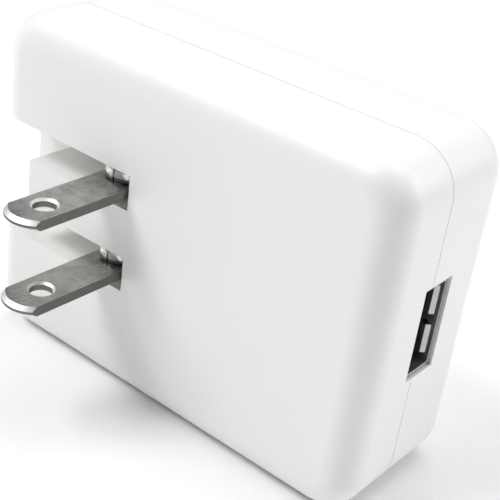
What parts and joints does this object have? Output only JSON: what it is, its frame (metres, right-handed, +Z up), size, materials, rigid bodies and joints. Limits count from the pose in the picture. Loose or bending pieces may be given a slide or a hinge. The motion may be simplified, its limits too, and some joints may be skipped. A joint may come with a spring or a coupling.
{
  "type": "usb wall charger",
  "caption": "Two-prong wall charger with folding flat blades in a rounded box case and one socket for a flat rectangular plug on its end.",
  "frame": {"origin": "on the outlet face, midway between the two blades and on their centre line", "axes": "+X along the case towards the socket, +Y from the outlet face into the case, +Z up across the two blades"},
  "size_m": [0.0684, 0.0426, 0.0508],
  "materials": {
    "housing": "fine satin, moulded white",
    "blade_plate": "nickel plated brass",
    "nylon": "natural glass-filled nylon",
    "steel": "bright tin plated sheet and wire",
    "contact_metal": "bright",
    "board": "phenolic paper laminate",
    "resistor": "lacquered",
    "ferrite": "dull grey",
    "black_epoxy": "moulded, fine matt",
    "can_sleeve": "shrunk sleeve over an aluminium can",
    "black_moulding": "moulded",
    "copper_wire": "enamelled wire",
    "polyester_tape": "thin film",
    "blue_epoxy": "dipped",
    "sheet": "paper faced film"
  },
  "bodies": {
    "case": {"front_cover": "housing", "rear_cover": "housing", "carrier_retainer": "nylon", "retainer_screws": "steel", "detent_spring": "steel", "line_contact": "contact_metal", "neutral_contact": "contact_metal", "circuit_board": "board", "fusible_resistor": "resistor", "line_choke": "ferrite", "bridge_rectifier": "black_epoxy", "input_capacitor_1": "can_sleeve", "input_capacitor_2": "can_sleeve", "controller_chip": "black_epoxy", "switching_transistor": "black_epoxy", "transformer_core_upper": "ferrite", "transformer_core_lower": "ferrite", "transformer_bobbin": "black_moulding", "transformer_winding": "copper_wire", "transformer_tape": "polyester_tape", "transformer_pins": "steel", "snubber_capacitor": "blue_epoxy", "snubber_resistor": "resistor", "safety_capacitor": "blue_epoxy", "optocoupler": "black_epoxy", "output_diode": "black_epoxy", "output_inductor": "ferrite", "output_capacitor_1": "can_sleeve", "output_capacitor_2": "can_sleeve", "sense_resistors": "black_epoxy", "insulation_sheet": "sheet", "usb_shell": "steel", "usb_tongue": "black_moulding", "usb_contacts": "contact_metal"},
    "blades": {"upper_blade": "blade_plate", "lower_blade": "blade_plate", "upper_hub": "blade_plate", "lower_hub": "blade_plate", "blade_carrier": "nylon"}
  },
  "joints": [
    {"name": "blade_fold", "type": "hinge", "parent": "case", "child": "blades", "pos_m": [0, 0.00332, 0], "axis": [0, 0, -1], "range_deg": [0, 90]}
  ]
}
